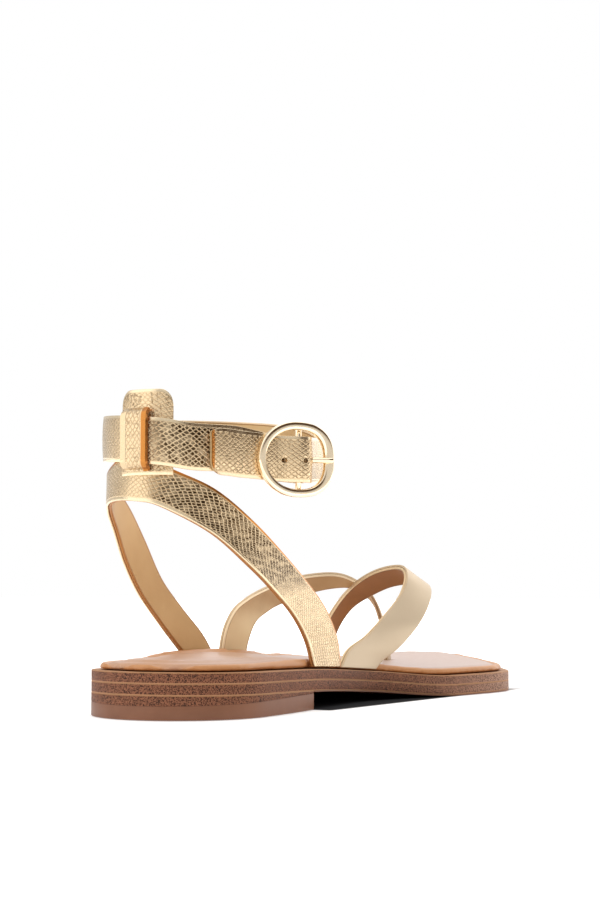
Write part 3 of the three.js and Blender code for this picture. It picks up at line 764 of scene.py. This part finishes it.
HALF_WALL = (STRAP_WALL - LAYER_SEAM) / 2
LAYER_OUT = (HALF_WALL + LAYER_SEAM) / 2


def strap(name, rear, front, nodes, outer_finish, lining_finish, slot, **layout):
    """A strap of two layers that are stitched back to back: the outer leather and its lining."""
    outer = strap_layer(f"{name}_outer", rear, front, LAYER_OUT, HALF_WALL, **layout)
    finish_piece(outer, nodes, outer_finish)
    inner = strap_layer(f"{name}_lining", rear, front, -LAYER_OUT, HALF_WALL, **layout)
    finish_piece(inner, nodes, lining_finish)
    return outer, inner


heel_foil = gold_foil("heel_strap_foil", (46, 96), 0.15, (PALE_EDGE, TAN_EDGE), 1.1)
strap(
    "heel_strap", heel_rear, heel_front, ["heel_strap"], heel_foil, tan_lining, "embossed_gold",
    counts=(220, 14),
)

# Ankle strap
# One embossed gold strap. Its short end is folded round the buckle bar, it goes round the heel and the
# front of the ankle, passes up through the frame and over the bar, and its tip lies over the short end.
STRAP_WIDTH = 14.0
BAR_RADIUS = 1.0
CLEARANCE = 0.3
EYE_WALL = 1.2
BACK_SHARE = 0.903
BAR_SHARE = 0.839
FRAME_SWING = math.radians(30)
BAR_CENTRE = place(0.159, -1.190 * HEEL_WIDTH / 2, SEAT_HEIGHT + BAR_SHARE * ANKLE_RISE)
FORWARD = Vector((-math.sin(FRAME_SWING), -math.cos(FRAME_SWING), 0))
OUTWARD = Vector((-math.cos(FRAME_SWING), math.sin(FRAME_SWING), 0))
UP = Vector((0, 0, 1))
EYE_RADIUS = BAR_RADIUS + CLEARANCE + EYE_WALL
INNER_LAYER = -(EYE_RADIUS - STRAP_WALL / 2)
OUTER_LAYER = INNER_LAYER + STRAP_WALL + CLEARANCE
CREST = EYE_RADIUS + CLEARANCE + STRAP_WALL / 2


def at_buckle(ahead, out, height):
    """Point measured from the middle of the bar: along the strap, away from the ankle, and up."""
    return BAR_CENTRE + (FORWARD * ahead + OUTWARD * out + UP * height) * MM


short_run = table(
    ("ahead", "out", "height"),
    (0.0, INNER_LAYER, 0.0),
    (-6.0, INNER_LAYER, 0.4),
    (-13.5, INNER_LAYER - 0.1, 1.4),
    (-22.0, INNER_LAYER, 2.6),
)
back_run = table(
    ("along", "side", "rise"),
    (0.0350, -0.490, 0.876),
    (0.0125, -0.270, 0.892),
    (0.0060, 0.000, BACK_SHARE),
    (0.0130, 0.250, 0.911),
    (0.0350, 0.520, 0.920),
    (0.0820, 0.820, 0.932),
    (0.1500, 1.000, 0.947),
    (0.2150, 0.940, 0.959),
    (0.2650, 0.620, 0.965),
    (0.2880, 0.130, 0.957),
    (0.2830, -0.430, 0.934),
    (0.2630, -0.870, 0.894),
    (0.2360, -1.110, 0.856),
)
long_run = table(
    ("ahead", "out", "height"),
    (9.0, -4.6, 0.6),
    (5.8, -1.4, 0.3),
    (3.5, 1.1, 0.1),
    (1.9, 2.8, 0.0),
    (0.0, CREST, 0.0),
    (-3.4, CREST - 0.7, 0.0),
    (-6.6, OUTER_LAYER + 0.8, 0.1),
    (-9.6, OUTER_LAYER, 0.3),
    (-15.0, OUTER_LAYER, 0.7),
    (-21.0, OUTER_LAYER, 1.0),
    (-26.0, OUTER_LAYER, 1.4),
    (-31.4, OUTER_LAYER, 1.6),
)
centres = [at_buckle(row["ahead"], row["out"], row["height"]) for row in short_run]
centres += [place(row["along"], row["side"] * HEEL_WIDTH / 2, SEAT_HEIGHT + row["rise"] * ANKLE_RISE)
            for row in back_run]
centres += [at_buckle(row["ahead"], row["out"], row["height"]) for row in long_run]
HALF_STRAP = UP * (STRAP_WIDTH / 2 * MM)
ankle_lower = [point - HALF_STRAP for point in centres]
ankle_upper = [point + HALF_STRAP for point in centres]
TIP_SHARE = 0.33 / (len(centres) - 1)
TIP_REACH = 2.4
TIP_CORNER = 0.30
UPPER_CORNER_SHARE = 0.35
ANKLE_SPANS = 560


def tip_trim(t, s):
    """Rounds the strap's free end, with the larger round on its lower corner."""
    toward = max(0, 1 - (1 - t) / (TIP_REACH * TIP_SHARE))
    curve = 1 - math.sqrt(max(0, 1 - toward ** 2))
    low = TIP_CORNER * curve
    high = 1 - UPPER_CORNER_SHARE * TIP_CORNER * curve
    return low + (high - low) * s


ankle_line = [along_curve(centres, k / ANKLE_SPANS) for k in range(ANKLE_SPANS + 1)]
ankle_length = sum((b - a).length for a, b in zip(ankle_line, ankle_line[1:])) / MM
ankle_foil = gold_foil("ankle_strap_foil", (26, 44), 0.3, tip=ankle_length)
ankle_outer, ankle_lining = strap(
    "ankle_strap", ankle_lower, ankle_upper, ["ankle_strap"], ankle_foil, pale_lining, "embossed_gold",
    counts=(ANKLE_SPANS, 12), crown=0.35, trim=tip_trim,
)
HOLE_RADIUS = 0.8
HOLE_PITCH = 6.3
HOLE_BACK = 0.4
HOLE_RAISE = -0.4
PUNCH_OUT = 3.0
PUNCH_DEPTH = 4.4
punch_turn = OUTWARD.to_track_quat("Z", "Y").to_euler()
for hole in range(2):
    spot = at_buckle(-hole * HOLE_PITCH - HOLE_BACK, PUNCH_OUT, HOLE_RAISE)
    for layer in (ankle_outer, ankle_lining):
        deselect()
        bpy.ops.mesh.primitive_cylinder_add(
            vertices=24, radius=HOLE_RADIUS * MM, depth=PUNCH_DEPTH * MM,
            location=spot, rotation=punch_turn,
        )
        punch = bpy.context.object
        pick(layer)
        apply_modifier("BOOLEAN", object=punch, operation="DIFFERENCE", solver="EXACT")
        bpy.data.objects.remove(punch)

# Strap eye
# The short end of the ankle strap is folded round the bar and sewn to itself.
# The fold is cut away in its middle, where the prong turns, so it shows as two short sleeves.
PRONG_SLOT = 3.8
eye_length = (STRAP_WIDTH - PRONG_SLOT) / 2


def side_view(point):
    return point.y / MM, point.z / MM


for side, name in ((-1, "lower_eye"), (1, "upper_eye")):
    deselect()
    middle = at_buckle(0, 0, side * (PRONG_SLOT + eye_length) / 2)
    bpy.ops.mesh.primitive_torus_add(
        location=middle, major_segments=40, minor_segments=12,
        major_radius=(EYE_RADIUS - EYE_WALL / 2) * MM, minor_radius=EYE_WALL / 2 * MM,
    )
    fold = bpy.context.object
    fold.name = f"strap_{name}"
    bpy.ops.object.transform_apply(location=True, rotation=True, scale=True)
    for vertex in fold.data.vertices:
        vertex.co.z = middle.z + (vertex.co.z - middle.z) * eye_length / EYE_WALL
    smooth_faces(40)
    chart(fold, side_view)
    finish_piece(fold, ["ankle_strap"], ankle_foil)

# Back tab and keeper
# A pull tab stands up inside the ankle strap behind the heel, stitched to the heel strap.
# A narrow embossed loop over the ankle strap is sewn to it at both ends.
TAB_WALL = 2.0
TAB_WIDTH = 20.4
TAB_BELOW = 10.6
TAB_ABOVE = 15.2
TAB_CORNER = 4.8
TAB_OFF_CENTRE = 4.3
KEEPER_WALL = 1.3
KEEPER_WIDTH = 7.8
KEEPER_OFF_CENTRE = -3.1
KEEPER_SEAT = 1.2
BACK_RADIUS = 17.0
BACK_CENTRE = 0.41
BACK_STEPS = 400
TAB_STEPS = 40
STRAP_MIDDLE = SEAT_HEIGHT + BACK_SHARE * ANKLE_RISE

back_points = [place(row["along"], row["side"] * HEEL_WIDTH / 2, 0) for row in back_run[:6]]
back_line = [along_curve(back_points, k / BACK_STEPS) for k in range(BACK_STEPS + 1)]
back_lengths = [0.0]
for before, after in zip(back_line, back_line[1:]):
    back_lengths.append(back_lengths[-1] + (after - before).length / MM)


def at_back(sideways, inward, height):
    """Point behind the heel, measured along the ankle strap, inward from it and up from the floor."""
    reach = BACK_CENTRE * back_lengths[-1] + sideways
    passed = next((i for i, length in enumerate(back_lengths) if length >= reach), BACK_STEPS)
    k = max(1, min(BACK_STEPS - 1, passed))
    share = (reach - back_lengths[k - 1]) / (back_lengths[k] - back_lengths[k - 1])
    run = (back_line[k + 1] - back_line[k - 1]).normalized()
    point = back_line[k - 1].lerp(back_line[k], share)
    return point + (Vector((run.y, -run.x, 0)) * inward + UP * height) * MM


tab_inward = STRAP_WALL / 2 + CLEARANCE + TAB_WALL / 2
tab_shares = [2 * k / TAB_STEPS - 1 for k in range(TAB_STEPS + 1)]


def tab_top(share):
    rounding = max(0, 1 - (1 - abs(share)) * TAB_WIDTH / 2 / TAB_CORNER)
    return STRAP_MIDDLE + TAB_ABOVE - TAB_CORNER * (1 - math.sqrt(max(0, 1 - rounding ** 2)))


def tab_bottom(share):
    return STRAP_MIDDLE - TAB_BELOW


def tab_line(height):
    """One edge of the tab, with its height given for shares from -1 to 1 of its half width."""
    return [at_back(share * TAB_WIDTH / 2 - TAB_OFF_CENTRE, tab_inward, height(share))
            for share in tab_shares]


tab_foil = gold_foil("tab_foil", NO_STRETCH, 0.6)
strap(
    "back_tab", tab_line(tab_bottom), tab_line(tab_top), ["heel_strap"], tab_foil, tan_lining,
    "embossed_gold", counts=(80, 16),
)

keeper_bow = KEEPER_WIDTH ** 2 / (8 * BACK_RADIUS)
on_tab = keeper_bow - (tab_inward - TAB_WALL / 2 - CLEARANCE - KEEPER_WALL / 2)
over_strap = keeper_bow + STRAP_WALL / 2 + 2 * CLEARANCE + KEEPER_WALL / 2
past_strap = STRAP_WIDTH / 2 + CLEARANCE
keeper_rows = table(
    ("height", "out"),
    (-past_strap - KEEPER_SEAT - 0.8, on_tab + 0.2),
    (-past_strap - 1.4, on_tab + 0.4),
    (-past_strap - 0.1, over_strap - 0.1),
    (-STRAP_WIDTH / 4, over_strap + 0.1),
    (STRAP_WIDTH / 4, over_strap + 0.1),
    (past_strap + 0.1, over_strap - 0.1),
    (past_strap + 1.6, on_tab + 0.2),
    (past_strap + KEEPER_SEAT + 0.6, on_tab),
)


def keeper_edge(side):
    return [at_back(side * KEEPER_WIDTH / 2 + KEEPER_OFF_CENTRE, -row["out"], STRAP_MIDDLE + row["height"])
            for row in keeper_rows]


keeper = strap_layer(
    "keeper_loop", keeper_edge(-1), keeper_edge(1), 0, KEEPER_WALL, outside=-1, counts=(70, 8),
)
keeper_foil = gold_foil("keeper_foil", NO_STRETCH, 0.35, (TAN_EDGE, GOLD), 1.8)
finish_piece(keeper, ["keeper"], keeper_foil)

# Front straps
# Smooth pale gold leather with painted edges: a band over the forefoot from ledge to ledge, lined in
# a darker brown copy of the lining that is painted shade, and a strap lined in pale tan from the inner
# ledge, which crosses over the band and narrows into the toe post. The two are joined where they cross.
band_rows = table(
    strap_columns,
    (0.378, -0.562, 0.160, 0.474, -0.60, 0.100),
    (0.436, -0.575, 0.312, 0.508, -0.66, 0.232),
    (0.488, -0.59, 0.506, 0.553, -0.74, 0.482),
    (0.541, -0.605, 0.739, 0.597, -0.72, 0.692),
    (0.568, -0.58, 0.896, 0.628, -0.64, 0.805),
    (0.598, -0.47, 0.992, 0.654, -0.47, 0.851),
    (0.628, -0.21, 0.978, 0.684, -0.19, 0.831),
    (0.664, 0.08, 0.884, 0.720, 0.10, 0.749),
    (0.704, 0.35, 0.732, 0.752, 0.38, 0.626),
    (0.738, 0.58, 0.532, 0.784, 0.59, 0.472),
    (0.772, 0.79, 0.267, 0.828, 0.80, 0.252),
)
band_rear = strap_edge(
    band_rows, "rear", BALL_WIDTH / 2, INSTEP_RISE,
    strap_foot(0.352, inner=False), strap_foot(0.792, inner=True),
)
band_front = strap_edge(
    band_rows, "front", BALL_WIDTH / 2, INSTEP_RISE,
    strap_foot(0.456, inner=False), strap_foot(0.858, inner=True),
)
instep_rows = table(
    strap_columns,
    (0.374, 0.53, 0.188, 0.450, 0.56, 0.160),
    (0.383, 0.52, 0.361, 0.462, 0.56, 0.312),
    (0.404, 0.51, 0.513, 0.486, 0.58, 0.438),
    (0.434, 0.50, 0.612, 0.524, 0.60, 0.545),
    (0.476, 0.49, 0.704, 0.568, 0.60, 0.640),
    (0.532, 0.46, 0.806, 0.618, 0.51, 0.723),
    (0.590, 0.36, 0.881, 0.660, 0.38, 0.769),
    (0.644, 0.24, 0.890, 0.696, 0.27, 0.777),
    (0.690, 0.18, 0.826, 0.726, 0.21, 0.728),
    (0.732, 0.16, 0.697, 0.757, 0.19, 0.626),
    (0.774, 0.19, 0.515, 0.792, 0.21, 0.464),
    (0.798, 0.21, 0.310, 0.816, 0.22, 0.282),
)


def post_foot(along, side):
    """Where the toe post goes down through the footbed."""
    return place(along, side * BALL_WIDTH / 2, seat(along) + FOOT_CLEARANCE)


instep_rear = strap_edge(
    instep_rows, "rear", BALL_WIDTH / 2, INSTEP_RISE,
    strap_foot(0.377, inner=True), post_foot(0.808, 0.215),
)
instep_front = strap_edge(
    instep_rows, "front", BALL_WIDTH / 2, INSTEP_RISE,
    strap_foot(0.449, inner=True), post_foot(0.824, 0.222),
)
OVER_BAND = 1.5
CROSSING = 0.58
CROSSING_LENGTH = 0.16
TURNED_WIDTH = (0.25, 0.6)
TURNED_EDGE = (0.60, 0.44, 0.27, 1)
BEIGE_DARK = (0.61, 0.48, 0.33, 1)
BEIGE_LIGHT = (0.66, 0.53, 0.37, 1)
SATIN_RELIEF = 0.03


def lifted(points):
    """The instep strap's edge, raised where it lies on the forefoot band."""
    last = len(points) - 1
    return [point + UP * OVER_BAND * MM * math.exp(-((k / last - CROSSING) / CROSSING_LENGTH) ** 2)
            for k, point in enumerate(points)]


satin = Finish("satin_gold_leather", Metallic=0.5)
bloom = satin.noise(satin.here(), 28, 3)
satin_grain = satin.noise(satin.here(), 1300, 3, 0.6)
rims = satin.chart("rims")
turned = rims.part(0).between(*TURNED_WIDTH) * rims.part(1).between(*TURNED_WIDTH)
beige = satin.mix(bloom.between(0.35, 0.65), BEIGE_DARK, BEIGE_LIGHT)
satin.set(
    Base_Color=satin.mix(turned, TURNED_EDGE, beige),
    Roughness=0.42 + 0.12 * satin_grain,
)
satin.relief(satin_grain + 0.6 * bloom, SATIN_RELIEF * MM)
strap(
    "forefoot_band", band_rear, band_front, ["front_straps"], satin, painted_shade_lining, "smooth_gold",
    counts=(170, 14), crown=0.25,
)
strap(
    "instep_strap", lifted(instep_rear), lifted(instep_front), ["front_straps"], satin, pale_lining,
    "smooth_gold", counts=(180, 12), crown=0.2, outside=-1,
)

# Buckle
# A cast and polished frame with soft edges, its round bar set back on two short posts.
# The prong is bent wire with a flattened eye that turns on the bar; it rests on the frame.
FRAME_HALF_LENGTH = 13.7
FRAME_FACE = 2.5
FRAME_THICKNESS = 2.0
FRAME_MARGIN = 2.1
FRAME_HALF_HEIGHT = STRAP_WIDTH / 2 + FRAME_MARGIN + FRAME_FACE
FRAME_FORWARD = -2.5
FRAME_PROUD = 2.7
SECTION_SQUARENESS = 0.5
FRAME_SQUARENESS = 0.8
FRAME_FACE_AHEAD = 0.9
PRONG_RADIUS = 0.9
PRONG_REACH = 9.4
PRONG_SPANS = 24
PRONG_ROOT = 0.6
PRONG_BEND = 0.6
PRONG_TAPER = 0.35
TAPER_START = 0.9
PRONG_EYE_WALL = 0.8
PRONG_EYE_HEIGHT = 2.6
BAR_SUNK = 0.9
POST_BACK = 0.4
PIN_ROUND = 0.3
METAL_RELIEF = 0.05
METAL_DARK = (0.95, 0.76, 0.52, 1)
METAL_LIGHT = (0.98, 0.83, 0.62, 1)

polished = Finish("polished_gold", Metallic=1.0)
haze = polished.noise(polished.here(), 120, 3)
polished.set(
    Base_Color=polished.mix(haze.between(0.3, 0.7), METAL_DARK, METAL_LIGHT),
    Roughness=0.08 + 0.08 * haze,
)
polished.relief(polished.noise(polished.here(), 90, 2), METAL_RELIEF * MM)


def power(value, share):
    """A sine or cosine pressed towards a square's, with its sign kept."""
    return math.copysign(abs(value) ** share, value)


deselect()
bpy.ops.mesh.primitive_torus_add(
    major_segments=120, minor_segments=24, major_radius=1.0, minor_radius=0.25,
)
ring = bpy.context.object
ring.name = "buckle_ring"
for vertex in ring.data.vertices:
    turn = math.atan2(vertex.co.y, vertex.co.x)
    around = math.atan2(vertex.co.z, math.hypot(vertex.co.x, vertex.co.y) - 1)
    wide = FRAME_FACE / 2 * (power(math.cos(around), SECTION_SQUARENESS) - 1)
    thick = FRAME_THICKNESS / 2 * power(math.sin(around), SECTION_SQUARENESS)
    share = FRAME_SQUARENESS if math.cos(turn) > 0 else 1
    wider = max(0, math.cos(turn)) ** 2 * FRAME_FACE_AHEAD * wide / FRAME_FACE
    vertex.co = at_buckle(
        FRAME_FORWARD + (FRAME_HALF_LENGTH + wide) * power(math.cos(turn), share) + wider,
        FRAME_PROUD + thick,
        (FRAME_HALF_HEIGHT + wide) * power(math.sin(turn), share),
    )
bpy.ops.object.mode_set(mode="EDIT")
bpy.ops.mesh.select_all(action="SELECT")
bpy.ops.mesh.normals_make_consistent(inside=False)
bpy.ops.object.mode_set(mode="OBJECT")
frame_at_bar = FRAME_HALF_HEIGHT * math.sqrt(1 - (FRAME_FORWARD / FRAME_HALF_LENGTH) ** 2)
post_height = frame_at_bar - FRAME_FACE / 2


def pin(name, start, end):
    """A round metal pin with softened ends, between two points."""
    deselect()
    run = end - start
    bpy.ops.mesh.primitive_cylinder_add(
        vertices=32, radius=BAR_RADIUS * MM, depth=run.length, location=(start + end) / 2,
        rotation=run.to_track_quat("Z", "Y").to_euler(),
    )
    made = bpy.context.object
    made.name = name
    bpy.ops.object.transform_apply(location=True, rotation=True, scale=True)
    round_edges(PIN_ROUND, 3, 30)
    smooth_faces(40)
    return made


bar_reach = post_height + BAR_SUNK
bar = pin("buckle_bar", at_buckle(0, 0, -bar_reach), at_buckle(0, 0, bar_reach))
posts = [pin(f"buckle_post_{k}", at_buckle(0, -POST_BACK, height), at_buckle(0, FRAME_PROUD, height))
         for k, height in enumerate((-post_height, post_height))]
for metal in (ring, bar, *posts):
    pick(metal)
    smooth_faces(60)
    chart(metal, side_view)
    finish_piece(metal, ["buckle_frame"], polished)

PRONG_REST = FRAME_PROUD + FRAME_THICKNESS / 2 + CLEARANCE + PRONG_RADIUS
prong_eye_radius = BAR_RADIUS + CLEARANCE + PRONG_EYE_WALL
prong_line = [
    at_buckle(PRONG_ROOT * prong_eye_radius, PRONG_ROOT * prong_eye_radius, 0),
    at_buckle(FRAME_FORWARD + FRAME_HALF_LENGTH - FRAME_FACE - PRONG_BEND, PRONG_REST, 0),
    at_buckle(PRONG_REACH, PRONG_REST, 0),
]


def prong_at(t):
    return along_curve(prong_line, min(1, max(0, t)))


deselect()
bpy.ops.mesh.primitive_cylinder_add(vertices=24, radius=1, depth=1, end_fill_type="TRIFAN")
prong = bpy.context.object
prong.name = "buckle_prong_wire"
bpy.ops.object.mode_set(mode="EDIT")
for k in range(1, PRONG_SPANS):
    bpy.ops.mesh.select_all(action="SELECT")
    bpy.ops.mesh.bisect(plane_co=(0, 0, k / PRONG_SPANS - 0.5), plane_no=(0, 0, 1))
bpy.ops.object.mode_set(mode="OBJECT")
for vertex in prong.data.vertices:
    t = min(1, max(0, vertex.co.z + 0.5))
    run = (prong_at(t + 0.01) - prong_at(t - 0.01)).normalized()
    radius = PRONG_RADIUS * (1 - PRONG_TAPER * max(0, (t - TAPER_START) / (1 - TAPER_START)) ** 2)
    aside = run.cross(UP) * vertex.co.x + UP * vertex.co.y
    vertex.co = prong_at(t) + aside * radius * MM
round_edges(PIN_ROUND, 3, 50)
smooth_faces(50)
deselect()
bpy.ops.mesh.primitive_torus_add(
    location=at_buckle(0, 0, 0), major_segments=48, minor_segments=12,
    major_radius=(prong_eye_radius - PRONG_EYE_WALL / 2) * MM, minor_radius=PRONG_EYE_WALL / 2 * MM,
)
prong_eye = bpy.context.object
prong_eye.name = "buckle_prong_eye"
bpy.ops.object.transform_apply(location=True, rotation=True, scale=True)
for vertex in prong_eye.data.vertices:
    vertex.co.z = BAR_CENTRE.z + (vertex.co.z - BAR_CENTRE.z) * PRONG_EYE_HEIGHT / PRONG_EYE_WALL
smooth_faces(60)
for metal in (prong, prong_eye):
    chart(metal, side_view)
    finish_piece(metal, ["buckle_prong"], polished)
